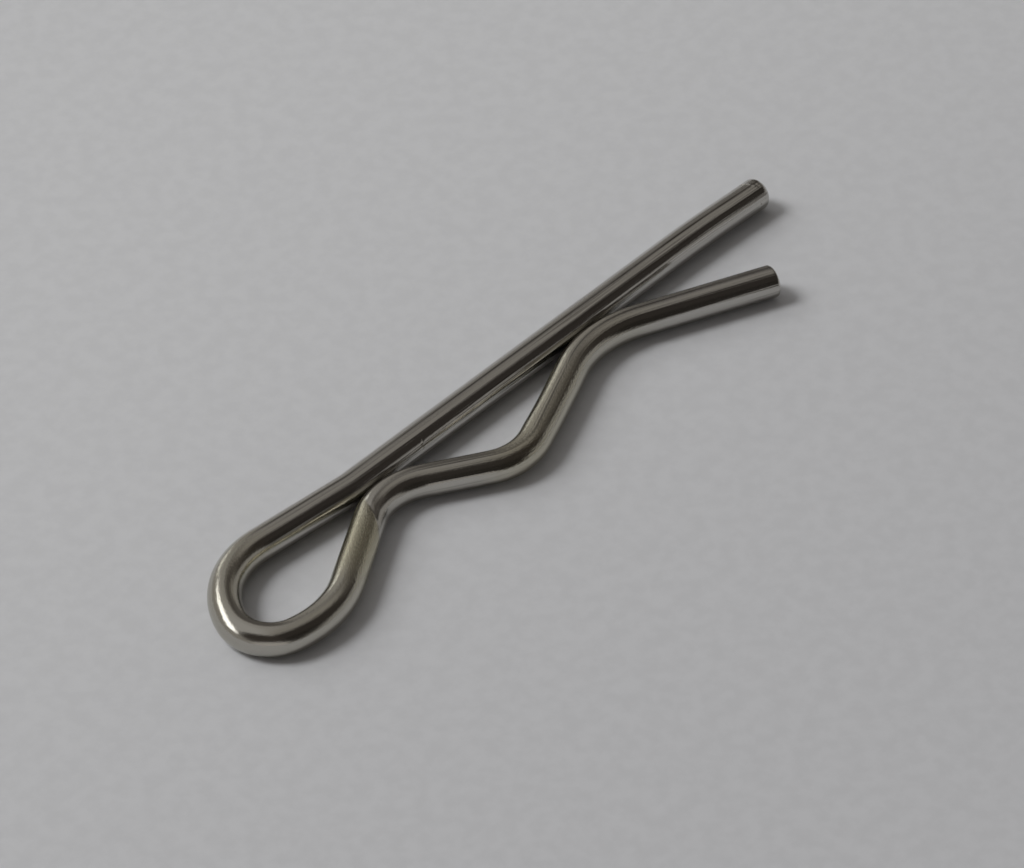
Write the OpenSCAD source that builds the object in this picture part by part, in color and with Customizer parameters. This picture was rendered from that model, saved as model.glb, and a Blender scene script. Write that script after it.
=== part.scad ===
// Spring cotter pin: one length of round spring wire, bent flat and lying on Z = 0.
// The straight leg runs along X with its tip at +X, where it has taken a slight set.
// Behind the first neck the wire turns back through a teardrop loop, and the sprung leg
// comes forward beside the straight one: in to the first neck, out over the bump that
// clasps a shaft, in to the second neck, and out again along the tail.
// The origin is under the middle of the pin's box.

/* [Wire] */
// Diameter of the wire
wire_d = 2; // [1.6:0.1:2.4]
// Radius of the rounded rim at the tip of the straight leg
tip_rim_r = 0.5; // [0.2:0.05:0.75]
// Radius of the rounded rim at the end of the tail
tail_rim_r = 0.3; // [0.1:0.05:0.75]

/* [Straight leg] */
// Straight length of the leg past the second neck
past_l = 9.2; // [4:0.1:20]
// Angle of the slight set that turns the tip towards the tail
set_angle = 2.5; // [0.5:0.5:5]
// Inside radius of the slow bend of the set
set_r = 100; // [50:5:150]
// Length of the tip past the set
tip_l = 3.7; // [2:0.1:8]

/* [Loop] */
// Angle at which the back of the loop leans away from the leg
back_angle = 5.5; // [2:0.5:10]
// Inside radius of the slight bend where the back of the loop starts
back_r = 5; // [2:0.5:10]
// Straight length of the back of the loop
back_l = 6.7; // [5.5:0.1:9]
// Inside radius of the shoulder, the wide first part of the turn
shoulder_r = 5; // [4:0.1:6.5]
// Angle that the wire turns through at the shoulder
shoulder_angle = 70.5; // [60:0.5:80]
// Inside radius of the crook, the tight middle of the turn
crook_r = 1.35; // [0.8:0.05:2]
// Inside radius of the belly, the wide last part of the turn
belly_r = 6; // [4.5:0.1:8]
// Angle that the wire turns through at the belly
belly_angle = 43.5; // [36:0.5:50]
// Angle between the straight side of the loop and the leg
side_angle = 28.5; // [24:0.5:33]

/* [First neck] */
// Gap between the straight leg and the wire at the first neck
neck_gap = 0.05; // [0.02:0.01:0.5]
// Inside radius of the bend at the first neck
neck_r = 3.5; // [2.4:0.1:4.5]

/* [Bump] */
// Clear depth of the bump, from the straight leg to the wire
bump_depth = 3.5; // [2.8:0.1:5]
// Angle between the first flank of the bump and the leg
rise_angle = 32; // [27:0.5:38]
// Angle between the second flank of the bump and the leg
fall_angle = 23; // [18:0.5:29]
// Inside radius of the bend at the top of the bump
bump_r = 3; // [2:0.1:4]

/* [Second neck and tail] */
// Gap between the straight leg and the wire at the second neck
pinch_gap = 0.03; // [0.02:0.01:0.5]
// Inside radius of the bend at the second neck
pinch_r = 6.6; // [4:0.1:9]
// Angle between the tail and the leg
tail_angle = 24; // [16:0.5:30]
// Straight length of the tail
tail_l = 8.9; // [5:0.1:14]

/* [Hidden] */
$fn = 64;
wire_colour = [0.60, 0.58, 0.54];

// Ring at the end of each bend, hardly proud of the wire, that laps the join into one solid
lap_proud = 0.005;
lap_l = 0.06;

// Radii of the bends at the middle of the wire
wire_r = wire_d / 2;
set_mid_r = set_r + wire_r;
back_mid_r = back_r + wire_r;
shoulder_mid_r = shoulder_r + wire_r;
crook_mid_r = crook_r + wire_r;
belly_mid_r = belly_r + wire_r;
neck_mid_r = neck_r + wire_r;
bump_mid_r = bump_r + wire_r;
pinch_mid_r = pinch_r + wire_r;

// Directions of the wire around the loop, counted from +X, where each part of the turn starts
shoulder_heading = 180 - back_angle;
crook_heading = shoulder_heading + shoulder_angle;
belly_heading = 360 + side_angle - belly_angle;

// Travel along the leg, and square to it, of a left-hand bend between two headings
function advance(mid_r, start, end) = mid_r * (sin(end) - sin(start));
function swing(mid_r, start, end) = mid_r * (cos(start) - cos(end));

// Travel square to the leg of a bend that turns by an angle from running level with it
function dip(mid_r, angle) = swing(mid_r, 0, angle);

// Distances of the wire's middle from the middle of the leg, square to it, bend by bend
shoulder_y = dip(back_mid_r, back_angle) + back_l * sin(back_angle);
crook_y = shoulder_y + swing(shoulder_mid_r, shoulder_heading, crook_heading);
belly_y = crook_y + swing(crook_mid_r, crook_heading, belly_heading);
side_y = belly_y + swing(belly_mid_r, belly_heading, side_angle);
neck_y = wire_d + neck_gap;
bump_y = wire_d + bump_depth;
pinch_y = wire_d + pinch_gap;

// Straight lengths between the bends, so that both necks lie their gaps from the leg
side_l = (-neck_y - side_y - dip(neck_mid_r, side_angle)) / sin(side_angle);
rise_l = (bump_y - neck_y - dip(neck_mid_r + bump_mid_r, rise_angle)) / sin(rise_angle);
fall_l = (bump_y - pinch_y - dip(bump_mid_r + pinch_mid_r, fall_angle)) / sin(fall_angle);

// Places along the leg, counted from where it starts beside the first neck
shoulder_x = -back_mid_r * sin(back_angle) - back_l * cos(back_angle);
crook_x = shoulder_x + advance(shoulder_mid_r, shoulder_heading, crook_heading);
belly_x = crook_x + advance(crook_mid_r, crook_heading, belly_heading);
side_x = belly_x + advance(belly_mid_r, belly_heading, side_angle);
neck_x = side_x + side_l * cos(side_angle) + neck_mid_r * sin(side_angle);
bump_x = neck_x + rise_l * cos(rise_angle) + (neck_mid_r + bump_mid_r) * sin(rise_angle);
pinch_x = bump_x + fall_l * cos(fall_angle) + (bump_mid_r + pinch_mid_r) * sin(fall_angle);
leg_l = pinch_x + past_l;

// The wire behind the leg: middle radius and angle of each bend, left-hand bends positive,
// and the straight length that follows it
ROUTE = [
    [back_mid_r, -back_angle, back_l],
    [shoulder_mid_r, shoulder_angle, 0],
    [crook_mid_r, belly_heading - crook_heading, 0],
    [belly_mid_r, belly_angle, side_l],
    [neck_mid_r, -side_angle - rise_angle, rise_l],
    [bump_mid_r, rise_angle + fall_angle, fall_l],
    [pinch_mid_r, -fall_angle - tail_angle, tail_l],
];

// Edges of the pin's box, measured from where the straight leg starts
loop_end = crook_x + advance(crook_mid_r, crook_heading, 270) - wire_r;
tip_end = leg_l + set_mid_r * sin(set_angle) + (tip_l - tip_rim_r) * cos(set_angle)
    + (wire_r - tip_rim_r) * sin(set_angle) + tip_rim_r;
back_edge = shoulder_y + dip(shoulder_mid_r, back_angle) + wire_r;
loop_edge = belly_y + swing(belly_mid_r, belly_heading, 0) - wire_r;
bump_edge = -bump_y - wire_r;
tail_edge = -pinch_y - dip(pinch_mid_r, tail_angle) - (tail_l - tail_rim_r) * sin(tail_angle)
    - (wire_r - tail_rim_r) * cos(tail_angle) - tail_rim_r;
leg_start = [
    -(loop_end + tip_end) / 2,
    -(back_edge + min(loop_edge, bump_edge, tail_edge)) / 2,
    wire_r + lap_proud,
];

// A straight length of wire from the origin along +X, with what follows it at its end
module straight(l) {
    if (l > 0) rotate([0, 90, 0]) cylinder(d = wire_d, h = l);
    translate([l, 0, 0]) children();
}

// A last length of wire from the origin along +X, cut square with a rounded rim
module cut_end(l, rim_r) {
    rotate([0, 90, 0]) rotate_extrude() {
        square([wire_r, l - rim_r]);
        square([wire_r - rim_r, l]);
        translate([wire_r - rim_r, l - rim_r]) intersection() {
            circle(rim_r);
            square(rim_r);
        }
    }
}

// A bend from the origin, to the left for a positive angle, with what follows it at its end
module bend(mid_r, angle) {
    hand = [0, angle < 0 ? 1 : 0, 0];
    mirror(hand) translate([0, mid_r, 0]) {
        rotate([0, 0, -90]) rotate_extrude(angle = abs(angle))
            translate([mid_r, 0]) circle(d = wire_d);
        rotate([0, 0, abs(angle)]) translate([0, -mid_r, 0]) mirror(hand) {
            rotate([0, 90, 0]) cylinder(r = wire_r + lap_proud, h = lap_l, center = true);
            children();
        }
    }
}

// The route from one of its bends onward, to the cut end of the tail
module onward(i) {
    bend(ROUTE[i][0], ROUTE[i][1]) {
        if (i < len(ROUTE) - 1) straight(ROUTE[i][2]) onward(i + 1);
        else cut_end(ROUTE[i][2], tail_rim_r);
    }
}

module spring_wire() {
    color(wire_colour) translate(leg_start) {
        straight(leg_l) bend(set_mid_r, -set_angle) cut_end(tip_l, tip_rim_r);
        rotate([0, 0, 180]) onward(0);
    }
}

spring_wire();
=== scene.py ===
"""Looks of a spring cotter pin that lies on pale paper.

The pin is one length of round wire. It is swept along the route of the solid that it stands for, its cut ends
and tool marks are worked into the mesh, and it gets a plated steel finish with drawing lines along it.
"""

import logging
import math
from dataclasses import dataclass, field
from enum import Enum
from typing import Any

import bpy
import numpy as np
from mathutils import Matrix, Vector


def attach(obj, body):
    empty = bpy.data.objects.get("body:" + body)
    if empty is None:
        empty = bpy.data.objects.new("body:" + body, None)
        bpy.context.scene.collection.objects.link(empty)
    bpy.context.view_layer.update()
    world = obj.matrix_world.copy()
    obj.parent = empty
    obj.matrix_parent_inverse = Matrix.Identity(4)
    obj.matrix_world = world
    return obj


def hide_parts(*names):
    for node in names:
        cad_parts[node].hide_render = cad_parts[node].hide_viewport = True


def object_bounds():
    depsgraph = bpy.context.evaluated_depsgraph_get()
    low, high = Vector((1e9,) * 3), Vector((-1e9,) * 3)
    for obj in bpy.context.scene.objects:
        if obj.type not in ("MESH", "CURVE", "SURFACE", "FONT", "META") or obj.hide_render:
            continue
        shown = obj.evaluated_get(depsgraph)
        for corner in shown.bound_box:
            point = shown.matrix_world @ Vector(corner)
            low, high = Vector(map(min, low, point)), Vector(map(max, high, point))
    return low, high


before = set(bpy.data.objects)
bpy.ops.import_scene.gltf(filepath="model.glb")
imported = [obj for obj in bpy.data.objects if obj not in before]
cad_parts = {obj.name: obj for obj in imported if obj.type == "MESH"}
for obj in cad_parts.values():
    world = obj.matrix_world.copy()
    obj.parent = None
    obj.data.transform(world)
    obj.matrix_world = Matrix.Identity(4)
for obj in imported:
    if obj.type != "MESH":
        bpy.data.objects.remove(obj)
CAD_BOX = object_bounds()

MM = 0.001
UP = Vector((0.0, 0.0, 1.0))
LOG = logging.getLogger("spring_cotter")
BODY = "root"
WIRE_NODE = "spring_wire"
SKIN_NAME = "spring_wire_skin"

# Places of the Mix node's sockets when it mixes colours
MIX_SHARE = 0
MIX_FIRST = 6
MIX_SECOND = 7
MIX_RESULT = 2

# Multiples of a bell curve's width at which it has faded out
BELL_REACH = 3

Colour = tuple[float, float, float]
Spot = tuple[float, float, float]
Scale = tuple[float, float, float]
Socket = bpy.types.NodeSocket
Tree = bpy.types.NodeTree


class Turn(Enum):
    """Side that the wire bends to, on the way from the tip to the tail."""

    LEFT = 1
    RIGHT = -1
    NONE = 0


class Mark(Enum):
    """Names of the mesh attributes that the sweep and the finish read."""

    ALONG = "along"
    RADIUS = "section_radius"
    RING = "ring"
    PLACE = "wire_place"
    WORKED = "worked"
    SMOOTHED = "smoothed"
    SCORED = "scored"
    CUT = "cut"


@dataclass(frozen=True)
class Ease:
    """Levels that a number is turned into, with a soft step between them.

    Attributes:
        start: Number where the low level ends.
        end: Number where the high level starts.
        low: The low level.
        high: The high level.
    """

    start: float
    end: float
    low: float
    high: float


class NodeSketch:
    """Adds nodes to one node tree and links them."""

    def __init__(self, tree: Tree) -> None:
        """Keep the tree and clear it."""
        self.tree = tree
        tree.nodes.clear()

    def add(self, kind: str, inputs: dict[Any, Any] | None = None, **settings: Any) -> bpy.types.Node:
        """Add a node.

        Args:
            kind: Blender's name of the node type.
            inputs: Input sockets by name or index, each with a value or the output socket that feeds it.
            settings: Properties of the node itself.

        Returns:
            The new node.
        """
        node = self.tree.nodes.new(kind)
        for name, value in settings.items():
            setattr(node, name, value)
        for key, value in (inputs or {}).items():
            self.feed(node.inputs[key], value)
        return node

    def feed(self, socket: Socket, value: Any) -> None:
        """Give an input socket its value.

        Args:
            socket: The input socket.
            value: The output socket that feeds it, or the value that it is set to.
        """
        if isinstance(value, Socket):
            self.tree.links.new(value, socket)
        else:
            socket.default_value = value

    def math(self, operation: str, *terms: Any) -> Socket:
        """Work out one sum of numbers and output sockets, by Blender's name of the operation."""
        return self.add("ShaderNodeMath", dict(enumerate(terms)), operation=operation).outputs[0]

    def attribute(self, mark: Mark, output: str) -> Socket:
        """Read a mesh attribute."""
        return self.add("ShaderNodeAttribute", attribute_name=mark.value).outputs[output]

    def dot(self, first: Any, second: Any) -> Socket:
        """Work out the dot product of two directions."""
        node = self.add("ShaderNodeVectorMath", {0: first, 1: second}, operation="DOT_PRODUCT")
        return node.outputs["Value"]

    def ramp(self, value: Any, start: Any, end: Any, low: float = 0.0, high: float = 1.0) -> Socket:
        """Ease a number from a low level that ends at the start to a high level that starts at the end."""
        inputs = {"Value": value, "From Min": start, "From Max": end, "To Min": low, "To Max": high}
        return self.add("ShaderNodeMapRange", inputs, interpolation_type="SMOOTHSTEP").outputs[0]

    def ease(self, value: Any, levels: Ease) -> Socket:
        """Ease a number between two fixed levels."""
        return self.ramp(value, levels.start, levels.end, levels.low, levels.high)

    def blend(self, share: Any, first: Any, second: Any) -> Socket:
        """Mix two colours.

        Args:
            share: How much of the second colour shows.
            first: The first colour, as numbers or a socket.
            second: The second colour, as numbers or a socket.

        Returns:
            The socket that holds the mixed colour.
        """
        node = self.add("ShaderNodeMix", data_type="RGBA")
        self.feed(node.inputs[MIX_SHARE], share)
        self.feed(node.inputs[MIX_FIRST], opaque(first))
        self.feed(node.inputs[MIX_SECOND], opaque(second))
        return node.outputs[MIX_RESULT]


class SweepSketch(NodeSketch):
    """Adds nodes to a tree that makes geometry."""

    def recall(self, mark: Mark, kind: str) -> Socket:
        """Read an attribute of the geometry, by Blender's name of its type."""
        return self.add("GeometryNodeInputNamedAttribute", {"Name": mark.value}, data_type=kind).outputs[0]

    def note(self, geometry: Socket, mark: Mark, value: Socket) -> Socket:
        """Write a place to each point of the geometry, as an attribute."""
        inputs = {"Geometry": geometry, "Name": mark.value, "Value": value}
        return self.add("GeometryNodeStoreNamedAttribute", inputs, data_type="FLOAT_VECTOR").outputs[0]


def opaque(colour: Any) -> Any:
    """Give three colour numbers a full alpha, and pass a socket on as it is."""
    return (*colour, 1.0) if isinstance(colour, tuple) else colour


def declare(tree: Tree, inputs: dict[str, str], output: str, kind: str) -> None:
    """Give a node tree its named sockets.

    Args:
        tree: The tree.
        inputs: Type of each input by its name.
        output: Name of the one output.
        kind: Type of the output.
    """
    for name, input_kind in inputs.items():
        tree.interface.new_socket(name, in_out="INPUT", socket_type=input_kind)
    tree.interface.new_socket(output, in_out="OUTPUT", socket_type=kind)


@dataclass(frozen=True)
class Stretch:
    """An evenly curved stretch of the wire's middle line.

    Attributes:
        name: What a maker would call it.
        length: Length along the middle of the wire, in millimetres.
        radius: Radius of the bend at the middle of the wire, in millimetres, endless where it is straight.
        turn: Side that it bends to.
    """

    name: str
    length: float
    radius: float = math.inf
    turn: Turn = Turn.NONE

    def curvature(self) -> float:
        """Signed curvature, to the left positive, per millimetre."""
        return self.turn.value / self.radius


@dataclass(frozen=True)
class WireRoute:
    """Sizes of the bent wire in millimetres and degrees, and the stretches that they give."""

    wire_d: float = 2.0
    leg_x: float = -11.0533
    leg_y: float = 2.7855
    past_l: float = 9.2
    set_angle: float = 2.5
    set_r: float = 100.0
    tip_l: float = 3.7
    back_angle: float = 5.5
    back_r: float = 5.0
    back_l: float = 6.7
    shoulder_r: float = 5.0
    shoulder_angle: float = 70.5
    crook_r: float = 1.35
    belly_r: float = 6.0
    belly_angle: float = 43.5
    side_angle: float = 28.5
    neck_gap: float = 0.05
    neck_r: float = 3.5
    bump_depth: float = 3.5
    rise_angle: float = 32.0
    fall_angle: float = 23.0
    bump_r: float = 3.0
    pinch_gap: float = 0.03
    pinch_r: float = 6.6
    tail_angle: float = 24.0
    tail_l: float = 8.9

    @property
    def wire_r(self) -> float:
        """Radius of the wire."""
        return self.wire_d / 2

    def arc(self, name: str, inside_r: float, angle: float, turn: Turn) -> Stretch:
        """Describe a bend by the radius at its inside, in millimetres, and its angle, in degrees."""
        radius = inside_r + self.wire_r
        return Stretch(name, radius * math.radians(angle), radius, turn)

    def crook_angle(self) -> float:
        """Angle that is left for the tight middle of the loop's turn, in degrees."""
        return 180 + self.back_angle - self.shoulder_angle + self.side_angle - self.belly_angle

    def loop(self) -> list[Stretch]:
        """Describe the wire from the slight bend beside the first neck to the end of the loop's belly.

        Returns:
            The stretches in order.
        """
        return [
            self.arc("back_bend", self.back_r, self.back_angle, Turn.RIGHT),
            Stretch("back", self.back_l),
            self.arc("shoulder", self.shoulder_r, self.shoulder_angle, Turn.LEFT),
            self.arc("crook", self.crook_r, self.crook_angle(), Turn.LEFT),
            self.arc("belly", self.belly_r, self.belly_angle, Turn.LEFT),
        ]

    def dip(self, inside_r: float, angle: float) -> float:
        """Travel square to the leg of a bend that turns by an angle from running level with it."""
        return (inside_r + self.wire_r) * (1 - math.cos(math.radians(angle)))

    def flank(self, drop: float, angle: float, *inside_rs: float) -> float:
        """Length of a straight slope that makes a drop, square to the leg, together with its bends."""
        bends = sum(self.dip(inside_r, angle) for inside_r in inside_rs)
        return (drop - bends) / math.sin(math.radians(angle))

    def sprung_leg(self, loop_y: float) -> list[Stretch]:
        """Describe the wire from the straight side of the loop to the end of the tail.

        Args:
            loop_y: Distance of the belly's end from the leg's middle, square to it, in millimetres.

        Returns:
            The stretches in order.
        """
        to_neck = loop_y - self.wire_d - self.neck_gap
        to_bump = self.bump_depth - self.neck_gap
        to_pinch = self.bump_depth - self.pinch_gap
        return [
            Stretch("side", self.flank(to_neck, self.side_angle, self.neck_r)),
            self.arc("neck", self.neck_r, self.side_angle + self.rise_angle, Turn.RIGHT),
            Stretch("rise", self.flank(to_bump, self.rise_angle, self.neck_r, self.bump_r)),
            self.arc("bump", self.bump_r, self.rise_angle + self.fall_angle, Turn.LEFT),
            Stretch("fall", self.flank(to_pinch, self.fall_angle, self.bump_r, self.pinch_r)),
            self.arc("pinch", self.pinch_r, self.fall_angle + self.tail_angle, Turn.RIGHT),
            Stretch("tail", self.tail_l),
        ]


@dataclass
class MiddleLine:
    """The wire's middle line from the tip to the tail, placed in the frame.

    Attributes:
        route: Sizes of the bent wire.
        stretches: The line's stretches in order.
        starts: Distance along the wire where each stretch starts, in millimetres.
        origins: X, Y and heading where each stretch starts, in millimetres and radians.
    """

    route: WireRoute
    stretches: list[Stretch] = field(default_factory=list)
    starts: list[float] = field(default_factory=list)
    origins: list[Spot] = field(default_factory=list)

    def __post_init__(self) -> None:
        """Work out the straight lengths and chain the stretches."""
        route = self.route
        leg_start = (0.0, 0.0, math.pi)
        behind = self.chain(route.loop(), leg_start)
        sprung = route.sprung_leg(-behind[-1][1])
        ahead = self.chain(route.loop() + sprung, leg_start)
        pinch_x = ahead[-2][0] - (route.pinch_r + route.wire_r) * math.sin(math.radians(route.tail_angle))
        leg = Stretch("leg", pinch_x + route.past_l)
        tip_bend = route.arc("set", route.set_r, route.set_angle, Turn.LEFT)
        self.stretches = [Stretch("tip", route.tip_l), tip_bend, leg] + route.loop() + sprung
        self.origins = self.chain(self.stretches, self.tip_start(leg, tip_bend))
        lengths = [stretch.length for stretch in self.stretches]
        self.starts = [0.0, *np.cumsum(lengths).tolist()]

    def tip_start(self, leg: Stretch, tip_bend: Stretch) -> Spot:
        """Place and heading of the tip's end.

        Args:
            leg: The straight leg.
            tip_bend: The slow bend of the set.

        Returns:
            The end's X and Y in millimetres and the heading towards the loop in radians.
        """
        angle = math.radians(self.route.set_angle)
        ahead = leg.length + tip_bend.radius * math.sin(angle) + self.route.tip_l * math.cos(angle)
        aside = tip_bend.radius * (1 - math.cos(angle)) + self.route.tip_l * math.sin(angle)
        return self.route.leg_x + ahead, self.route.leg_y - aside, math.pi - angle

    @staticmethod
    def chain(stretches: list[Stretch], start: Spot) -> list[Spot]:
        """Follow stretches from a starting place.

        Args:
            stretches: The stretches in order.
            start: Place and heading where the first one starts.

        Returns:
            Place and heading at the start of each stretch and at the end of the last.
        """
        found = [start]
        for stretch in stretches:
            x, y, heading = MiddleLine.step(stretch.curvature(), *found[-1], stretch.length)
            found.append((float(x), float(y), float(heading)))
        return found

    @staticmethod
    def step(curvature: float, x: float, y: float, heading: float, way: Any) -> tuple[Any, Any, Any]:
        """Go some way along a stretch.

        Args:
            curvature: Signed curvature of the stretch, per millimetre.
            x: Where it starts.
            y: Where it starts.
            heading: Direction at its start, in radians.
            way: Distance along it in millimetres, a number or an array.

        Returns:
            X, Y and heading there.
        """
        if curvature == 0:
            return x + way * math.cos(heading), y + way * math.sin(heading), heading + 0 * way
        turned = heading + curvature * way
        along_x = (np.sin(turned) - math.sin(heading)) / curvature
        along_y = (math.cos(heading) - np.cos(turned)) / curvature
        return x + along_x, y + along_y, turned

    def length(self) -> float:
        """Length of the whole wire, in millimetres."""
        return self.starts[-1]

    def start_of(self, name: str) -> float:
        """Distance along the wire where a named stretch starts, in millimetres."""
        names = [stretch.name for stretch in self.stretches]
        return self.starts[names.index(name)]

    def trace(self, along: np.ndarray) -> tuple[np.ndarray, np.ndarray]:
        """Find places on the line.

        Args:
            along: Distances from the tip, in millimetres.

        Returns:
            Places as rows of X and Y in millimetres, and headings in radians.
        """
        points = np.zeros((len(along), 2))
        headings = np.zeros(len(along))
        which = self.which(along)
        for index, stretch in enumerate(self.stretches):
            on_it = which == index
            way = along[on_it] - self.starts[index]
            x, y, heading = self.step(stretch.curvature(), *self.origins[index], way)
            points[on_it] = np.column_stack([x, y])
            headings[on_it] = heading
        return points, headings

    def which(self, along: np.ndarray) -> np.ndarray:
        """Number of the stretch that each distance from the tip falls in."""
        found = np.searchsorted(self.starts, along, side="right") - 1
        return np.clip(found, 0, len(self.stretches) - 1)

    def names_at(self, along: np.ndarray) -> list[str]:
        """Name of the stretch that each distance from the tip falls in."""
        return [self.stretches[index].name for index in self.which(along)]


@dataclass(frozen=True)
class Grain:
    """One layer of grain in a finish.

    Attributes:
        scale: Grains per metre along the three axes of the place that it follows.
        detail: How much finer structure there is.
    """

    scale: Scale
    detail: float

    def lay(self, sketch: NodeSketch, group: Tree, place: Socket) -> Socket:
        """Place the shared grain group in a material.

        Args:
            sketch: The material's nodes.
            group: The shared grain group.
            place: Socket with the place that the grain follows.

        Returns:
            The socket with the grain's level.
        """
        node = sketch.add("ShaderNodeGroup", node_tree=group)
        sketch.feed(node.inputs["Place"], place)
        sketch.feed(node.inputs["Scale"], self.scale)
        sketch.feed(node.inputs["Detail"], self.detail)
        return node.outputs["Level"]


def make_grain_group() -> Tree:
    """Make the grain that the steel and the paper share.

    Returns:
        The node group, with the inputs Place, Scale and Detail and the output Level.
    """
    group = bpy.data.node_groups.new("stretched_grain", "ShaderNodeTree")
    inputs = {"Place": "NodeSocketVector", "Scale": "NodeSocketVector", "Detail": "NodeSocketFloat"}
    declare(group, inputs, "Level", "NodeSocketFloat")
    sketch = NodeSketch(group)
    given = sketch.add("NodeGroupInput").outputs
    place = sketch.add("ShaderNodeVectorMath", {0: given["Place"], 1: given["Scale"]}, operation="MULTIPLY")
    spread = {"Vector": place.outputs[0], "Scale": 1.0, "Detail": given["Detail"]}
    noise = sketch.add("ShaderNodeTexNoise", spread)
    sketch.add("NodeGroupOutput", {"Level": noise.outputs["Fac"]})
    return group


@dataclass(frozen=True)
class SkinLayers:
    """Sockets of the steel's material that its colour, roughness and relief are made from.

    Attributes:
        worked: How much bending has stained and dulled the plate.
        scored: How deep a place is in the main die line.
        cut: Whether a place is on a torn end.
        kept: Share of the drawing lines that bending has left.
        lines, coarse, peel, patchy: Levels of the finish's grains of these names.
    """

    worked: Socket
    scored: Socket
    cut: Socket
    kept: Socket
    lines: Socket
    coarse: Socket
    peel: Socket
    patchy: Socket


@dataclass(frozen=True)
class SteelFinish:
    """Plated steel with drawing lines along the wire.

    Attributes:
        clean: Colour of the plate where no tool has touched it.
        worked: Colour where bending has rubbed the plate.
        dull: Colour in the drawing lines and pits.
        torn: Colour of the cut ends.
        roughness: Roughness of the clean plate.
        worked_roughness: Roughness that rubbing adds.
        torn_roughness: Roughness that the cut adds.
        line_depth: Height of the drawing lines, in metres.
        grain_depth: Height of the grain where the plate is rubbed, in metres.
        torn_depth: Height of the torn grain on the cut ends, in metres.
        coarse_share: Height of the wider streaks as a share of the drawing lines'.
        lines: Grain of the drawing lines.
        coarse: Grain of the wider streaks between them.
        peel: Fine grain of a rubbed or torn skin.
        patchy: Grain of the patches in which a mark comes and goes.
        score_levels: How dark the main die line is in and out of the patches.
        streak_levels: How dark the drawing lines are.
        rub_levels: How much rubbing roughens in and out of the patches.
        drift_levels: How the clean plate's roughness drifts with the wider streaks.
        peel_levels: How high the fine grain is on clean and on rubbed plate.
    """

    clean: Colour = (0.49, 0.475, 0.445)
    worked: Colour = (0.50, 0.47, 0.36)
    dull: Colour = (0.13, 0.12, 0.105)
    torn: Colour = (0.30, 0.285, 0.26)
    roughness: float = 0.13
    worked_roughness: float = 0.10
    torn_roughness: float = 0.25
    line_depth: float = 0.00002
    grain_depth: float = 0.00002
    torn_depth: float = 0.00004
    coarse_share: float = 1.5
    lines: Grain = Grain((90.0, 5200.0, 5200.0), 3.0)
    coarse: Grain = Grain((35.0, 1500.0, 1500.0), 2.0)
    peel: Grain = Grain((5000.0, 8000.0, 8000.0), 2.0)
    patchy: Grain = Grain((260.0, 700.0, 700.0), 3.0)
    score_levels: Ease = Ease(0.30, 0.60, 0.55, 1.0)
    streak_levels: Ease = Ease(0.50, 0.74, 0.0, 0.6)
    rub_levels: Ease = Ease(0.25, 0.75, 0.6, 1.3)
    drift_levels: Ease = Ease(0.35, 0.75, -0.03, 0.08)
    peel_levels: Ease = Ease(0.0, 1.0, 0.15, 1.0)

    def material(self, grain: Tree, name: str) -> bpy.types.Material:
        """Make the finish.

        Args:
            grain: The shared grain group.
            name: The material's name.

        Returns:
            The material.
        """
        material = bpy.data.materials.new(name)
        material.use_nodes = True
        sketch = NodeSketch(material.node_tree)
        skin = self.layers(sketch, grain)
        shader = sketch.add("ShaderNodeBsdfPrincipled", {
            "Base Color": self.skin_colour(sketch, skin),
            "Metallic": 1.0,
            "Roughness": self.skin_roughness(sketch, skin),
            "Normal": self.skin_relief(sketch, skin),
        })
        sketch.add("ShaderNodeOutputMaterial", {"Surface": shader.outputs[0]})
        return material

    def layers(self, sketch: NodeSketch, grain: Tree) -> SkinLayers:
        """Read the skin's marks and lay the grains.

        Args:
            sketch: The material's nodes.
            grain: The shared grain group.

        Returns:
            The sockets that hold them.
        """
        place = sketch.attribute(Mark.PLACE, "Vector")
        smoothed = sketch.attribute(Mark.SMOOTHED, "Fac")
        return SkinLayers(
            worked=sketch.attribute(Mark.WORKED, "Fac"),
            scored=sketch.attribute(Mark.SCORED, "Fac"),
            cut=sketch.attribute(Mark.CUT, "Fac"),
            kept=sketch.math("SUBTRACT", 1.0, smoothed),
            lines=self.lines.lay(sketch, grain, place),
            coarse=self.coarse.lay(sketch, grain, place),
            peel=self.peel.lay(sketch, grain, place),
            patchy=self.patchy.lay(sketch, grain, place),
        )

    def skin_colour(self, sketch: NodeSketch, skin: SkinLayers) -> Socket:
        """Colour the plate, its die lines and the torn ends.

        Args:
            sketch: The material's nodes.
            skin: What the colour is made from.

        Returns:
            The socket with the colour.
        """
        plate = sketch.blend(skin.worked, self.clean, self.worked)
        broken = sketch.math("MULTIPLY", skin.scored, sketch.ease(skin.patchy, self.score_levels))
        streaks = sketch.math("MULTIPLY", skin.kept, sketch.ease(skin.lines, self.streak_levels))
        pits = sketch.math("MAXIMUM", broken, streaks)
        return sketch.blend(skin.cut, sketch.blend(pits, plate, self.dull), self.torn)

    def skin_roughness(self, sketch: NodeSketch, skin: SkinLayers) -> Socket:
        """Roughen the plate where it is rubbed or torn.

        Args:
            sketch: The material's nodes.
            skin: What the roughness is made from.

        Returns:
            The socket with the roughness.
        """
        rubbed = sketch.math("MULTIPLY", skin.worked, sketch.ease(skin.patchy, self.rub_levels))
        rough = sketch.math("ADD", self.roughness, sketch.ease(skin.coarse, self.drift_levels))
        rough = sketch.math("MULTIPLY_ADD", rubbed, self.worked_roughness, rough)
        return sketch.math("MULTIPLY_ADD", skin.cut, self.torn_roughness, rough)

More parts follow.
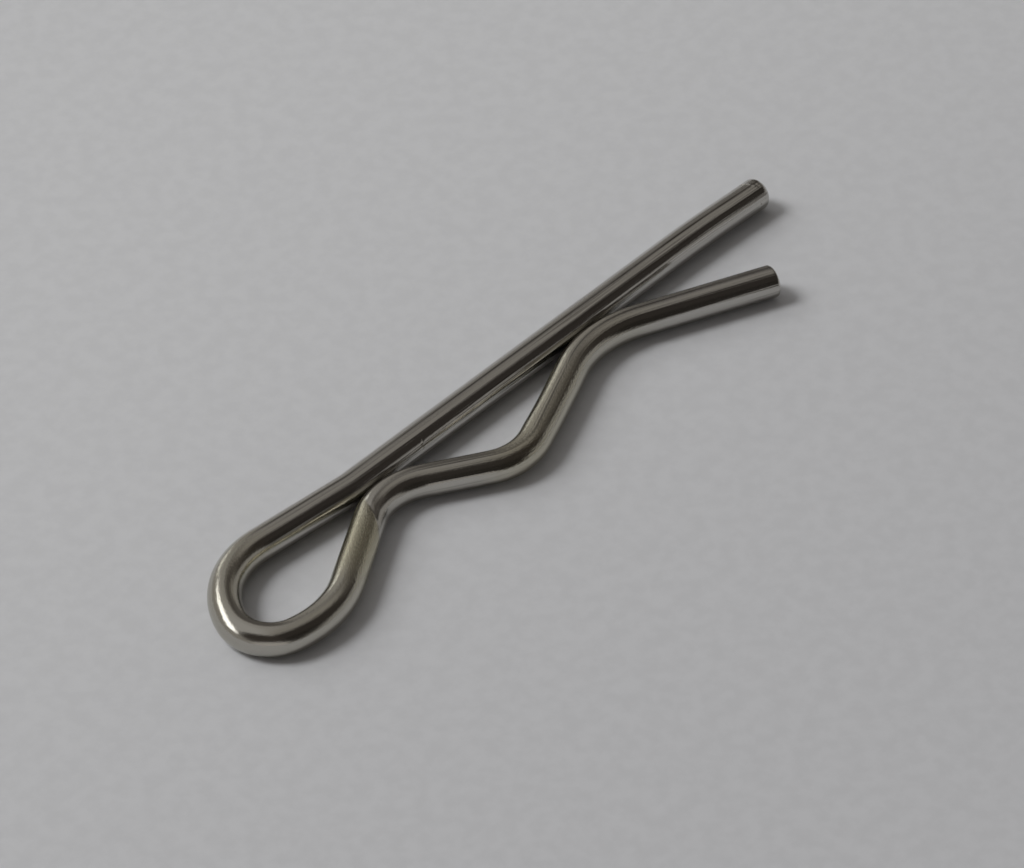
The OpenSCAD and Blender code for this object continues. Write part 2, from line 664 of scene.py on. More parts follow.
    def skin_relief(self, sketch: NodeSketch, skin: SkinLayers) -> Socket:
        """Raise the drawing lines, the rubbed grain and the torn grain, one on the other.

        Args:
            sketch: The material's nodes.
            skin: What the relief is made from.

        Returns:
            The socket with the normal.
        """
        drawn = sketch.math("MULTIPLY_ADD", skin.coarse, self.coarse_share, skin.lines)
        left = sketch.math("MULTIPLY", skin.kept, drawn)
        rubbed = sketch.math("MULTIPLY", skin.peel, sketch.ease(skin.worked, self.peel_levels))
        torn = sketch.math("MULTIPLY", skin.cut, skin.peel)
        under = sketch.add("ShaderNodeBump", {"Distance": self.line_depth, "Height": left}).outputs[0]
        for depth, height in ((self.grain_depth, rubbed), (self.torn_depth, torn)):
            relief = {"Distance": depth, "Height": height, "Normal": under}
            under = sketch.add("ShaderNodeBump", relief).outputs[0]
        return under


@dataclass(frozen=True)
class PaperFinish:
    """Pale uncoated paper, with painted light: its colour is lighter towards the window and darker away from
    it.

    Attributes:
        painted_light_colour: Painted light, the colour at the side of the window.
        away: Painted shade, the colour at the far side.
        spread: Distance over which the painted light goes into the painted shade, in metres.
        roughness: Roughness of the sheet.
        sheen: Level of its gloss.
        mottle: Grain of its cloudiness.
        mottle_levels: How much the cloudiness darkens and lightens it.
    """

    painted_light_colour: Colour = (0.680, 0.688, 0.704)
    away: Colour = (0.598, 0.604, 0.623)
    spread: float = 0.09
    roughness: float = 0.95
    sheen: float = 0.1
    mottle: Grain = Grain((900.0, 900.0, 900.0), 3.0)
    mottle_levels: Ease = Ease(0.3, 0.7, 0.975, 1.025)

    def material(self, grain: Tree, towards: Vector) -> bpy.types.Material:
        """Make the finish.

        Args:
            grain: The shared grain group.
            towards: Level direction from the window side to the far side, along which the painted light fades
                to painted shade.

        Returns:
            The material.
        """
        material = bpy.data.materials.new("pale_paper")
        material.use_nodes = True
        sketch = NodeSketch(material.node_tree)
        place = sketch.add("ShaderNodeTexCoord").outputs["Object"]
        # Painted light and shade: the colour fades from the lighter window side to the darker far side.
        far = sketch.ramp(sketch.dot(place, towards), -self.spread / 2, self.spread / 2)
        shade = sketch.blend(far, self.painted_light_colour, self.away)
        level = sketch.ease(self.mottle.lay(sketch, grain, place), self.mottle_levels)
        colour = sketch.add("ShaderNodeVectorMath", {0: shade, "Scale": level}, operation="SCALE")
        shader = sketch.add("ShaderNodeBsdfPrincipled", {
            "Base Color": colour.outputs[0],
            "Roughness": self.roughness,
            "Specular IOR Level": self.sheen,
        })
        sketch.add("ShaderNodeOutputMaterial", {"Surface": shader.outputs[0]})
        return material


def apart(around: np.ndarray, middle: Any) -> np.ndarray:
    """Angle from a middle to each place round the section, in radians, the short way round."""
    return np.angle(np.exp(1j * (around - middle)))


def soft_step(past: np.ndarray, edge: float) -> np.ndarray:
    """Share from zero to one that rises over an edge of some width, half of it before the edge."""
    return np.clip(past / edge + 0.5, 0, 1)


def forward(headings: np.ndarray) -> np.ndarray:
    """Level directions along the wire, as rows of X and Y."""
    return np.column_stack([np.cos(headings), np.sin(headings)])


def rightward(headings: np.ndarray) -> np.ndarray:
    """Level directions to the wire's right-hand side, as rows of X and Y."""
    return np.column_stack([np.sin(headings), -np.cos(headings)])


@dataclass(frozen=True)
class DieLine:
    """A fine groove that the drawing die has left all along the wire.

    Attributes:
        angle: Where it lies round the section at the tip, in degrees.
        sway: How far it wanders round the section, in degrees.
        width: Half its width round the section, in radians.
        depth: Its depth, in millimetres.
        half_wave: Length along the wire over which it wanders out and back, in millimetres.
    """

    angle: float
    sway: float
    width: float
    depth: float
    half_wave: float = 85.0

    def lift(self, along: np.ndarray, around: np.ndarray) -> np.ndarray:
        """Height of the skin at the groove, in millimetres."""
        return -self.depth * self.share(along, around)

    def share(self, along: np.ndarray, around: np.ndarray) -> np.ndarray:
        """How deep in the groove each place is, from zero to one."""
        middle = np.radians(self.angle + self.sway * np.sin(math.pi * along / self.half_wave))
        return np.exp(-((apart(around, middle) / self.width) ** 2))


@dataclass(frozen=True)
class CrossMark:
    """A dent or ridge that a tool has left across the wire.

    Attributes:
        along: Distance of its middle from the tip, in millimetres.
        angle: Its middle round the section, in degrees.
        reach: Half the angle that it covers, in degrees.
        slant: How far it shifts along the wire per degree, in millimetres.
        width: Half its width along the wire, in millimetres.
        height: How far it stands proud, in millimetres, where a dent is negative.
    """

    along: float
    angle: float
    reach: float
    slant: float
    width: float
    height: float

    def half_length(self) -> float:
        """Half the length of wire that it takes up, in millimetres."""
        return BELL_REACH * self.width + abs(self.slant) * self.reach

    def aside(self, around: np.ndarray) -> np.ndarray:
        """Angle from the mark's middle to each place round the section, in degrees."""
        return np.degrees(apart(around, math.radians(self.angle)))

    def past(self, along: np.ndarray, around: np.ndarray) -> np.ndarray:
        """Distance past the mark's line, in millimetres."""
        return along - self.along - self.slant * self.aside(around)

    def lift(self, along: np.ndarray, around: np.ndarray) -> np.ndarray:
        """Height of the skin at the mark, in millimetres."""
        fade = np.exp(-((self.aside(around) / self.reach) ** 4))
        return self.height * fade * np.exp(-((self.past(along, around) / self.width) ** 2))


@dataclass(frozen=True)
class Rub:
    """What the bending tools have done to the skin of one stretch.

    Attributes:
        stretch: Name of the stretch.
        worked: How much the plate is stained and dulled, from zero to one.
        smoothed: Share of the die lines that is rubbed away.
    """

    stretch: str
    worked: float
    smoothed: float


@dataclass(frozen=True)
class CutEnd:
    """A sheared end of the wire.

    Attributes:
        rim: Radius of the rounded rim, in millimetres.
        crown: How far the middle of the end stands proud of its edge, in millimetres.
        lean: Lean of the end from square, towards the right-hand side, in degrees.
        lean_reach: Length of wire over which the lean fades, in radii of the rim.
        torn_inset: Distance of the torn face's edge from the wire's side, in radii of the rim.
        centre_share: Radius of the innermost ring, as a share of the flat face's.
        rim_rings: Section rings on the rim.
        face_rings: Steps from the middle of the face to the rim.
    """

    rim: float
    crown: float = 0.03
    lean: float = 2.0
    lean_reach: float = 3.0
    torn_inset: float = 0.7
    centre_share: float = 0.03
    rim_rings: int = 12
    face_rings: int = 9

    def rings(self, wire_r: float) -> tuple[np.ndarray, np.ndarray]:
        """Places of the section rings.

        Args:
            wire_r: Radius of the wire, in millimetres.

        Returns:
            Distances from the end and the sections' radii there, in millimetres.
        """
        flat_r = wire_r - self.rim
        face_r = np.linspace(self.centre_share, 1.0, self.face_rings)[:-1] * flat_r
        face = self.crown * (face_r / flat_r) ** 2
        turn = np.linspace(0, math.pi / 2, self.rim_rings)
        rim = self.crown + self.rim * (1 - np.cos(turn))
        rim_r = flat_r + self.rim * np.sin(turn)
        return np.concatenate([face, rim]), np.concatenate([face_r, rim_r])

    def torn_r(self, wire_r: float) -> float:
        """Radius of the torn face, in millimetres."""
        return wire_r - self.rim * self.torn_inset

    def leant(self, from_end: np.ndarray, aside: np.ndarray) -> np.ndarray:
        """Shift towards the end that the lean gives at distances from the end and to the right."""
        fade = np.clip(1 - from_end / (self.lean_reach * self.rim), 0, 1)
        return math.tan(math.radians(self.lean)) * aside * fade


@dataclass
class SpringWire:
    """The whole pin: one bent wire with its cut ends and the marks of its making.

    Attributes:
        line: The wire's middle line.
        tip_cut: The cut at the tip.
        tail_cut: The cut at the tail's end.
        torn_edge: Width of the soft edge of a torn face, in millimetres.
        crease: The dent that the bending tool has left where the loop's side meets the first neck.
        creased_share: How much the plate is stained past the crease.
        crease_edge: Width of the stain's soft edge at the crease, in millimetres.
        crease_fade: Length of the rise over which the crease's effect on the stain fades, in millimetres.
        main_line: The deepest die line.
        leg_nick: The nick on the straight leg.
        tip_burr: The burr across the tip.
        tip_nick: The nick at the tip.
        bump_swelling: The swelling that bending has left inside the bump.
        bump_flat: The flattening that bending has left outside the bump.
        rubs: How much the bending tools have rubbed each stretch.
        ease_l: Length over which a level eases from stretch to stretch, in millimetres.
        ease_steps: Steps in that length.
        faint_lines: Number of faint die lines.
        faint_sways: Least and greatest sway of the faint die lines, in degrees.
        faint_widths: Least and greatest half width of the faint die lines, in radians.
        faint_depth_shares: Least and greatest depth, in millimetres for each radian of half width.
        pitch: Distance between the section rings, in millimetres.
        fine_pitch: Least distance between the rings near tool marks, in millimetres.
        pitch_share: Distance between the rings near a tool mark, as a share of half its width.
        closest_share: Distance at which rings fall together, as a share of the fine pitch.
        sides: Points round the section.
        crowding: How much the points crowd towards the top, where the main die line runs.
        seed: Seed of the faint die lines.
    """

    line: MiddleLine
    tip_cut: CutEnd = CutEnd(0.5)
    tail_cut: CutEnd = CutEnd(0.2)
    torn_edge: float = 0.08
    crease: CrossMark = CrossMark(66.0, 71.0, 60.0, 0.0236, 0.34, -0.012)
    creased_share: float = 0.12
    crease_edge: float = 0.22
    crease_fade: float = 2.0
    main_line: DieLine = DieLine(92.0, -11.0, 0.065, 0.014)
    leg_nick: CrossMark = CrossMark(31.39, 150.0, 18.0, 0.0078, 0.08, -0.010)
    tip_burr: CrossMark = CrossMark(0.98, 80.0, 32.0, -0.0078, 0.06, 0.03)
    tip_nick: CrossMark = CrossMark(1.04, 166.0, 9.0, 0.0, 0.10, -0.05)
    bump_swelling: CrossMark = CrossMark(78.8, 180.0, 60.0, 0.0, 2.3, 0.12)
    bump_flat: CrossMark = CrossMark(78.6, 0.0, 70.0, 0.0, 2.4, -0.10)
    rubs: tuple[Rub, ...] = (
        Rub("shoulder", 0.40, 0.90),
        Rub("crook", 0.20, 0.95),
        Rub("belly", 0.30, 0.95),
        Rub("side", 1.00, 1.00),
        Rub("neck", 0.55, 0.70),
        Rub("rise", 0.05, 0.20),
        Rub("bump", 0.65, 0.60),
        Rub("fall", 0.55, 0.50),
        Rub("pinch", 0.30, 0.30),
    )
    ease_l: float = 1.0
    ease_steps: int = 10
    faint_lines: int = 14
    faint_sways: tuple[float, float] = (-16.0, 4.0)
    faint_widths: tuple[float, float] = (0.05, 0.16)
    faint_depth_shares: tuple[float, float] = (0.02, 0.06)
    pitch: float = 0.28
    fine_pitch: float = 0.04
    pitch_share: float = 0.14
    closest_share: float = 1 / 3
    sides: int = 160
    crowding: float = 0.45
    seed: int = 7

    def tool_marks(self) -> tuple[CrossMark, ...]:
        """The crease, the nicks, the burr and the squeeze at the bump."""
        nicks = (self.leg_nick, self.tip_burr, self.tip_nick)
        return (self.crease, *nicks, self.bump_swelling, self.bump_flat)

    def rings(self) -> tuple[np.ndarray, np.ndarray]:
        """Places of the section rings.

        Returns:
            Distances along the wire and the sections' radii there, in millimetres.
        """
        whole = self.line.length()
        wire_r = self.line.route.wire_r
        tip, tip_r = self.tip_cut.rings(wire_r)
        tail, tail_r = self.tail_cut.rings(wire_r)
        first = tip[-1]
        last = whole - tail[-1]
        spots = [np.arange(first, last, self.pitch)]
        for mark in self.tool_marks():
            half = mark.half_length()
            pitch = max(self.fine_pitch, mark.width * self.pitch_share)
            if pitch < self.pitch:
                spots.append(np.arange(mark.along - half, mark.along + half, pitch))
        body = np.unique(np.concatenate(spots))
        body = body[(body > first + self.fine_pitch) & (body < last - self.fine_pitch)]
        body = body[np.append(True, np.diff(body) > self.fine_pitch * self.closest_share)]
        along = np.concatenate([tip, body, (whole - tail)[::-1]])
        radius = np.concatenate([tip_r, np.full(len(body), wire_r), tail_r[::-1]])
        return along, radius

    def guide(self) -> bpy.types.Object:
        """Make the line of stations that the section follows.

        Returns:
            A mesh of points and edges, with the place along the wire and the section's radius at each point.
        """
        along, radius = self.rings()
        points, _ = self.line.trace(along)
        places = [(x * MM, y * MM, middle_height()) for x, y in points]
        edges = [(index, index + 1) for index in range(len(places) - 1)]
        mesh = bpy.data.meshes.new("wire_guide")
        mesh.from_pydata(places, edges, [])
        write_numbers(mesh, Mark.ALONG, along * MM)
        write_numbers(mesh, Mark.RADIUS, radius * MM)
        return put_in_scene("wire_guide", mesh)

    @staticmethod
    def sweep_tree() -> Tree:
        """Make the tree that sweeps a round section along a line of stations.

        Returns:
            The tree, with the inputs Guide, Sides and Finish and the output Wire.
        """
        tree = bpy.data.node_groups.new("sweep_wire", "GeometryNodeTree")
        inputs = {"Guide": "NodeSocketGeometry", "Sides": "NodeSocketInt", "Finish": "NodeSocketMaterial"}
        declare(tree, inputs, "Wire", "NodeSocketGeometry")
        sketch = SweepSketch(tree)
        given = sketch.add("NodeGroupInput").outputs
        rail = sketch.add("GeometryNodeMeshToCurve", {"Mesh": given["Guide"]})
        level = sketch.add("GeometryNodeSetCurveNormal", {"Curve": rail.outputs[0]}, mode="Z_UP")
        radius = sketch.recall(Mark.RADIUS, "FLOAT")
        circle = {"Resolution": given["Sides"], "Radius": 1.0}
        section = sketch.add("GeometryNodeCurvePrimitiveCircle", circle).outputs[0]
        spot = sketch.add("GeometryNodeInputPosition").outputs[0]
        swept = sketch.add("GeometryNodeCurveToMesh", {
            "Curve": level.outputs[0],
            "Profile Curve": sketch.note(section, Mark.RING, spot),
            "Scale": radius,
            "Fill Caps": True,
        })
        ring = sketch.recall(Mark.RING, "FLOAT_VECTOR")
        sized = sketch.add("ShaderNodeVectorMath", {0: ring, "Scale": radius}, operation="SCALE")
        across = sketch.add("ShaderNodeSeparateXYZ", {0: sized.outputs[0]}).outputs
        along = sketch.recall(Mark.ALONG, "FLOAT")
        place = sketch.add("ShaderNodeCombineXYZ", {0: along, 1: across[0], 2: across[1]}).outputs[0]
        placed = sketch.note(swept.outputs[0], Mark.PLACE, place)
        smooth = sketch.add("GeometryNodeSetShadeSmooth", {"Geometry": placed})
        real = sketch.add("GeometryNodeRealizeInstances", {"Geometry": smooth.outputs[0]})
        dress = {"Geometry": real.outputs[0], "Material": given["Finish"]}
        dressed = sketch.add("GeometryNodeSetMaterial", dress)
        sketch.add("NodeGroupOutput", {"Wire": dressed.outputs[0]})
        return tree

    def build(self, finish: bpy.types.Material) -> bpy.types.Object:
        """Sweep the wire and turn the result into a plain mesh.

        Args:
            finish: Finish of the wire's skin.

        Returns:
            The finished wire, riding on its body in place of the solid.
        """
        guide = self.guide()
        sweep = guide.modifiers.new("sweep", "NODES")
        sweep.node_group = self.sweep_tree()
        set_inputs(sweep, {"Sides": self.sides, "Finish": finish})
        graph = bpy.context.evaluated_depsgraph_get()
        mesh = bpy.data.meshes.new_from_object(guide.evaluated_get(graph))
        mesh.name = SKIN_NAME
        guide.modifiers.remove(sweep)
        bpy.data.objects.remove(guide)
        wire = put_in_scene(SKIN_NAME, mesh)
        self.work_skin(mesh)
        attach(wire, BODY)
        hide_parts(WIRE_NODE)
        return wire

    def work_skin(self, mesh: bpy.types.Mesh) -> None:
        """Press the marks into the swept skin and note for the finish what has happened where.

        Args:
            mesh: The swept wire.
        """
        along = read_numbers(mesh, Mark.ALONG) / MM
        around = self.angles_round(mesh, along)
        smoothed = self.ease_along(along, {rub.stretch: rub.smoothed for rub in self.rubs})
        kept = 1 - smoothed
        radius = read_numbers(mesh, Mark.RADIUS) / MM
        lift = kept * sum(mark.lift(along, around) for mark in self.die_lines())
        lift += sum(mark.lift(along, around) for mark in self.tool_marks())
        radius = radius + lift * (radius / self.line.route.wire_r) ** 2
        self.move_skin(mesh, along, around, radius)
        write_numbers(mesh, Mark.CUT, self.torn_share(along, radius))
        write_numbers(mesh, Mark.WORKED, self.worked_share(along, around))
        write_numbers(mesh, Mark.SMOOTHED, smoothed)
        write_numbers(mesh, Mark.SCORED, kept * self.main_line.share(along, around))

    def angles_round(self, mesh: bpy.types.Mesh, along: np.ndarray) -> np.ndarray:
        """Find where the skin's points go round the section, crowded towards the top.

        Args:
            mesh: The swept wire.
            along: Distance of each point from the tip, in millimetres.

        Returns:
            The angle of each point, in radians from the right-hand side.
        """
        points, headings = self.line.trace(along)
        spots = np.empty(3 * len(mesh.vertices), dtype=np.float32)
        mesh.vertices.foreach_get("co", spots)
        spots = spots.reshape(-1, 3) / MM
        aside = ((spots[:, :2] - points) * rightward(headings)).sum(axis=1)
        around = np.arctan2(spots[:, 2] - middle_height() / MM, aside)
        return around - self.crowding * np.sin(apart(around, math.pi / 2))

    def move_skin(
        self, mesh: bpy.types.Mesh, along: np.ndarray, around: np.ndarray, radius: np.ndarray
    ) -> None:
        """Move the skin's points to their places.

        Args:
            mesh: The swept wire.
            along: Distance of each point from the tip, in millimetres.
            around: Angle of each point round the section, in radians.
            radius: Distance of each point from the middle line, in millimetres.
        """
        points, headings = self.line.trace(along)
        aside = radius * np.cos(around)
        rise = radius * np.sin(around)
        from_tail = self.line.length() - along
        shift = self.tail_cut.leant(from_tail, aside) - self.tip_cut.leant(along, aside)
        level = points + rightward(headings) * aside[:, None] + forward(headings) * shift[:, None]
        skin = np.column_stack([level, rise + middle_height() / MM]) * MM
        mesh.vertices.foreach_set("co", skin.astype(np.float32).ravel())
        mesh.update()

    def die_lines(self) -> list[DieLine]:
        """Lay out the die lines.

        Returns:
            The main line and the seeded faint ones.
        """
        chance = np.random.default_rng(self.seed)
        faint = []
        for angle in chance.uniform(0, 360, self.faint_lines):
            sway = chance.uniform(*self.faint_sways)
            width = chance.uniform(*self.faint_widths)
            depth = width * chance.uniform(*self.faint_depth_shares)
            faint.append(DieLine(float(angle), sway, width, depth))
        return [self.main_line, *faint]

    def ease_along(self, along: np.ndarray, levels: dict[str, float]) -> np.ndarray:
        """Ease a level from stretch to stretch.

        Args:
            along: Distances from the tip, in millimetres.
            levels: Level of each stretch by its name, and zero where none is given.

        Returns:
            The eased level at each place.
        """
        grid = np.arange(0, self.line.length(), self.ease_l / self.ease_steps)
        steps = np.array([levels.get(name, 0.0) for name in self.line.names_at(grid)])
        window = np.linspace(-BELL_REACH, BELL_REACH, 2 * BELL_REACH * self.ease_steps + 1)
        bell = np.exp(-(window ** 2) / 2)
        eased = np.convolve(steps, bell / bell.sum(), mode="same")
        return np.interp(along, grid, eased)

    def torn_share(self, along: np.ndarray, radius: np.ndarray) -> np.ndarray:
        """How far the shears have torn the skin.

        Args:
            along: Distances from the tip, in millimetres.
            radius: Distances from the middle line, in millimetres.

        Returns:
            The share at each place, one on the end faces and zero on the wire's side.
        """
        wire_r = self.line.route.wire_r
        at_tip = along < self.line.length() / 2
        torn_r = np.where(at_tip, self.tip_cut.torn_r(wire_r), self.tail_cut.torn_r(wire_r))
        return soft_step(torn_r - radius, self.torn_edge)

    def worked_share(self, along: np.ndarray, around: np.ndarray) -> np.ndarray:
        """How much the tools have stained and dulled the plate.

        Args:
            along: Distances from the tip, in millimetres.
            around: Angles round the section, in radians.

        Returns:
            The share at each place, from zero to one.
        """
        share = self.ease_along(along, {rub.stretch: rub.worked for rub in self.rubs})
        past = soft_step(self.crease.past(along, around), self.crease_edge)
        fade_end = self.line.start_of("rise") + self.crease_fade
        past *= np.clip((fade_end - along) / self.crease_fade, 0, 1)
        return share + past * (np.minimum(share, self.creased_share) - share)


def middle_height() -> float:
    """Height of the wire's middle over the table, in metres."""
    lowest, highest = CAD_BOX
    return (lowest.z + highest.z) / 2


def put_in_scene(name: str, data: bpy.types.ID) -> bpy.types.Object:
    """Put a mesh, a lamp or a camera into the scene.

    Args:
        name: Name of its object.
        data: What the object shows.

    Returns:
        The object.
    """
    item = bpy.data.objects.new(name, data)
    bpy.context.scene.collection.objects.link(item)
    return item


def read_numbers(mesh: bpy.types.Mesh, mark: Mark) -> np.ndarray:
    """Read a number of each point of a mesh.

    Args:
        mesh: The mesh.
        mark: The attribute that holds the numbers.

    Returns:
        The numbers in the order of the points.
    """
    numbers = np.empty(len(mesh.vertices), dtype=np.float32)
    mesh.attributes[mark.value].data.foreach_get("value", numbers)
    return numbers.astype(float)


def write_numbers(mesh: bpy.types.Mesh, mark: Mark, numbers: np.ndarray) -> None:
    """Give each point of a mesh a number."""
    attribute = mesh.attributes.new(mark.value, "FLOAT", "POINT")
    attribute.data.foreach_set("value", numbers.astype(np.float32))


def set_inputs(modifier: bpy.types.Modifier, values: dict[str, Any]) -> None:
    """Set a Geometry Nodes modifier's inputs by their names, through the sockets' identifiers.

    Args:
        modifier: The modifier with its tree.
        values: Values by the name of the input.
    """
    for item in modifier.node_group.interface.items_tree:
        if item.in_out == "INPUT" and item.name in values:
            modifier[item.identifier] = values[item.name]


@dataclass(frozen=True)
class Glow:
    """A soft-edged patch of the room that lights the paper and shows in the steel.

    Attributes:
        name: What it is.
        azimuth: Direction of its middle, in degrees to the right of straight back.
        elevation: Height of its middle, in degrees.
        half_width: Half its width, in degrees.
        half_height: Half its height, in degrees.
        edge_share: Half the width of its soft edge, as a share of its half size.
        light: Its colour times its brightness.
    """

    name: str
    azimuth: float
    elevation: float
    half_width: float
    half_height: float
    edge_share: float
    light: Colour


@dataclass(frozen=True)
class Lamp:
    """A round lamp that lights the paper and casts the pin's shadow, but does not show in the steel.

    Attributes:
        name: What it is.
        azimuth: Direction of its middle, in degrees to the right of straight back.
        elevation: Height of its middle, in degrees.
        power: Its power, in watts.
        size: Diameter of its disc, in metres.
        distance: Its distance from the origin, in metres.
    """

    name: str
    azimuth: float
    elevation: float
    power: float
    size: float
    distance: float = 1.0


@dataclass
class Studio:
    """Paper, room light and camera.

    Attributes:
        azimuth: Direction of the view, in degrees, where zero looks along +Y.
        elevation: Height of the view over the horizon, in degrees.
        aim: Point that the middle of the picture shows, in millimetres.
        distance: Distance of the camera from that point, in millimetres.
        lens: Focal length on the sensor, in millimetres.
        clip_start: Distance from which the camera sees, in metres.
        paper_half: Half the width of the paper, in metres.
        dark: Light of the upper room.
        low: Light of the walls up to a little over the table's level.
        low_top: Elevation up to which the low walls show, in degrees.
        low_edge: Half the width of their soft upper edge, in degrees.
        glows: Patches of light and dark in the room, each laid over those before it.
        lamps: Lamps over the paper.
    """

    azimuth: float = -49.16
    elevation: float = 40.0
    aim: Spot = (-1.4217, -1.0167, 1.005)
    distance: float = 487.34
    lens: float = 295.78
    clip_start: float = 0.01
    paper_half: float = 3.0
    dark: Colour = (0.042, 0.037, 0.033)
    low: Colour = (0.33, 0.32, 0.31)
    low_top: float = 20.0
    low_edge: float = 4.0
    glows: tuple[Glow, ...] = (
        Glow("ceiling", -60.0, 57.0, 80.0, 47.0, 0.15, (0.30, 0.285, 0.265)),
        Glow("upper_left", -85.0, 62.0, 55.0, 24.0, 0.45, (0.44, 0.43, 0.42)),
        Glow("back_wall", 8.0, 20.0, 15.0, 24.0, 0.25, (0.12, 0.112, 0.105)),
        Glow("dark_left", -158.0, 42.0, 34.0, 26.0, 0.30, (0.055, 0.048, 0.043)),
        Glow("dark_corner", 128.0, 24.0, 28.0, 19.0, 0.25, (0.027, 0.024, 0.021)),
        Glow("front_wall", 180.0, 8.0, 32.0, 17.0, 0.20, (0.48, 0.46, 0.45)),
        Glow("shelf_edge", 32.0, 38.0, 24.0, 8.0, 0.50, (0.085, 0.077, 0.07)),
        Glow("window_end", -27.0, 13.0, 6.0, 6.0, 0.40, (1.2, 1.2, 1.15)),
        Glow("window", -71.0, 34.0, 33.0, 9.0, 0.25, (2.5, 2.5, 2.5)),
    )
    lamps: tuple[Lamp, ...] = (
        Lamp("window_side_lamp", -90.0, 50.0, 3.9, 0.36),
        Lamp("fill_lamp", 85.0, 40.0, 0.5, 1.6),
    )

    def back(self) -> Vector:
        """Level direction from the camera to the back."""
        turn = math.radians(self.azimuth)
        return Vector((-math.sin(turn), math.cos(turn), 0.0))

    def right(self) -> Vector:
        """Level direction to the camera's right."""
        turn = math.radians(self.azimuth)
        return Vector((math.cos(turn), math.sin(turn), 0.0))

    def axes(self, azimuth: float, elevation: float) -> tuple[Vector, Vector, Vector]:
        """Directions to a place in the room, level along its width and up along its height.

        Args:
            azimuth: Direction of the place, in degrees to the right of straight back.
            elevation: Its height, in degrees.

        Returns:
            The three directions.
        """
        turn = math.radians(azimuth)
        rise = math.radians(elevation)
        level = self.back() * math.cos(turn) + self.right() * math.sin(turn)
        aside = self.right() * math.cos(turn) - self.back() * math.sin(turn)
        middle = level * math.cos(rise) + UP * math.sin(rise)
        above = UP * math.cos(rise) - level * math.sin(rise)
        return middle, aside, above

    def lay_paper(self, finish: PaperFinish, grain: Tree) -> bpy.types.Object:
        """Lay the sheet that the pin rests on.

        Args:
            finish: The paper's finish.
            grain: The shared grain group.

        Returns:
            The sheet.
        """
        half = self.paper_half
        level = CAD_BOX[0].z
        corners = [(-half, -half, level), (half, -half, level), (half, half, level), (-half, half, level)]
        mesh = bpy.data.meshes.new("paper")
        mesh.from_pydata(corners, [], [(0, 1, 2, 3)])
        paper = put_in_scene("paper", mesh)
        # Direction in which the paper's painted light fades to painted shade.
        fall = (self.right() - self.back()).normalized()
        mesh.materials.append(finish.material(grain, fall))
        return paper

    @staticmethod
    def glow_group() -> Tree:
        """Make the mask of one soft-edged patch.

        Returns:
            The node group, with the patch's axes and sizes as inputs and the output Mask.
        """
        group = bpy.data.node_groups.new("soft_patch", "ShaderNodeTree")
        inputs = dict.fromkeys(("Way", "Middle", "Aside", "Above"), "NodeSocketVector")
        inputs |= dict.fromkeys(("Half Width", "Half Height", "Edge"), "NodeSocketFloat")
        declare(group, inputs, "Mask", "NodeSocketFloat")
        sketch = NodeSketch(group)
        given = sketch.add("NodeGroupInput").outputs
        ahead = sketch.dot(given["Way"], given["Middle"])
        turn = sketch.math("ARCTAN2", sketch.dot(given["Way"], given["Aside"]), ahead)
        rise = sketch.math("ARCSINE", sketch.dot(given["Way"], given["Above"]))
        wide = sketch.math("POWER", sketch.math("DIVIDE", turn, given["Half Width"]), 2.0)
        high = sketch.math("POWER", sketch.math("DIVIDE", rise, given["Half Height"]), 2.0)
        reach = sketch.math("SQRT", sketch.math("ADD", wide, high))
        inner = sketch.math("SUBTRACT", 1.0, given["Edge"])
        outer = sketch.math("ADD", 1.0, given["Edge"])
        sketch.add("NodeGroupOutput", {"Mask": sketch.ramp(reach, inner, outer, 1.0, 0.0)})
        return group

    def light_room(self) -> None:
        """Make the room's light from the dark upper room, the low walls and the patches."""
        world = bpy.data.worlds.new("room")
        bpy.context.scene.world = world
        world.use_nodes = True
        sketch = NodeSketch(world.node_tree)
        patch = self.glow_group()
        way = sketch.add("ShaderNodeTexCoord").outputs["Generated"]
        height = sketch.add("ShaderNodeSeparateXYZ", {0: way}).outputs[2]
        rise = sketch.math("DEGREES", sketch.math("ARCSINE", height))
        under = sketch.ramp(rise, self.low_top - self.low_edge, self.low_top + self.low_edge, 1.0, 0.0)
        light = sketch.blend(under, self.dark, self.low)
        for glow in self.glows:
            middle, aside, above = self.axes(glow.azimuth, glow.elevation)
            mask = sketch.add("ShaderNodeGroup", node_tree=patch, label=glow.name)
            sizes = {
                "Way": way,
                "Middle": middle,
                "Aside": aside,
                "Above": above,
                "Half Width": math.radians(glow.half_width),
                "Half Height": math.radians(glow.half_height),
                "Edge": glow.edge_share,
            }
            for name, value in sizes.items():
                sketch.feed(mask.inputs[name], value)
            light = sketch.blend(mask.outputs["Mask"], light, glow.light)
        shader = sketch.add("ShaderNodeBackground", {"Color": light, "Strength": 1.0})
        sketch.add("ShaderNodeOutputWorld", {"Surface": shader.outputs[0]})

    def hang_lamps(self) -> None:
        """Hang the lamps round the paper."""
        for lamp in self.lamps:
            data = bpy.data.lights.new(lamp.name, "AREA")
            data.shape = "DISK"
            data.size = lamp.size
            data.energy = lamp.power
            hung = put_in_scene(lamp.name, data)
            towards, _, _ = self.axes(lamp.azimuth, lamp.elevation)
            hung.location = towards * lamp.distance
            hung.rotation_mode = "QUATERNION"
            hung.rotation_quaternion = (-towards).to_track_quat("-Z", "Y")
            hung.visible_glossy = False

    def set_camera(self) -> bpy.types.Object:
        """Place the camera at the view's angle.

        Returns:
            The camera, set as the scene's own.
        """
        data = bpy.data.cameras.new("camera")
        data.lens = self.lens
        data.clip_start = self.clip_start
        camera = put_in_scene("camera", data)
        rise = math.radians(self.elevation)
        away = self.back() * math.cos(rise) - UP * math.sin(rise)
        camera.location = Vector(self.aim) * MM - away * self.distance * MM
        camera.rotation_mode = "QUATERNION"
        camera.rotation_quaternion = away.to_track_quat("-Z", "Y")
        bpy.context.scene.camera = camera
        return camera


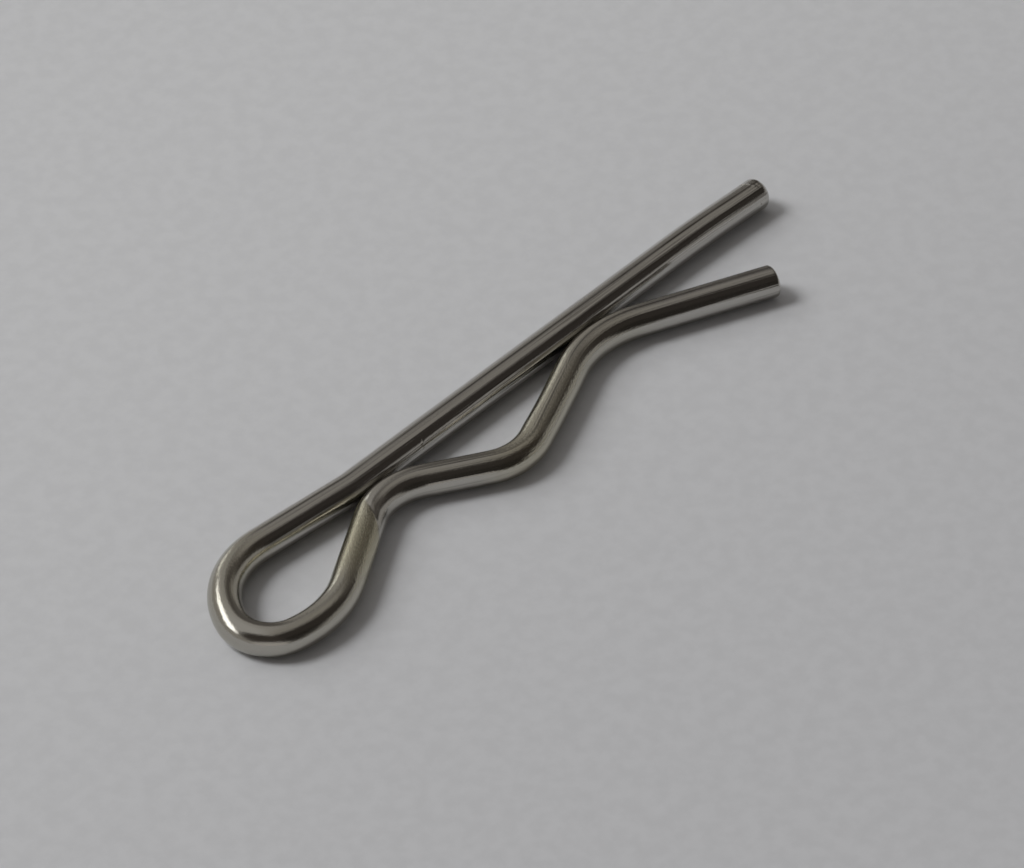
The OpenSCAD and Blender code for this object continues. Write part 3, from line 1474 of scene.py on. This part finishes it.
def main() -> None:
    """Build the pin and the studio in order."""
    logging.basicConfig(level=logging.INFO, format="%(name)s: %(message)s")
    bpy.context.scene.view_settings.view_transform = "Standard"
    grain = make_grain_group()
    line = MiddleLine(WireRoute())
    LOG.info("middle line of %.2f mm in %d stretches", line.length(), len(line.stretches))
    wire = SpringWire(line).build(SteelFinish().material(grain, "plated_steel"))
    LOG.info("%s: %d faces", wire.name, len(wire.data.polygons))
    studio = Studio()
    studio.lay_paper(PaperFinish(), grain)
    studio.light_room()
    studio.hang_lamps()
    studio.set_camera()
    LOG.info("paper, room light and camera are in place")


if __name__ == "__main__":
    main()
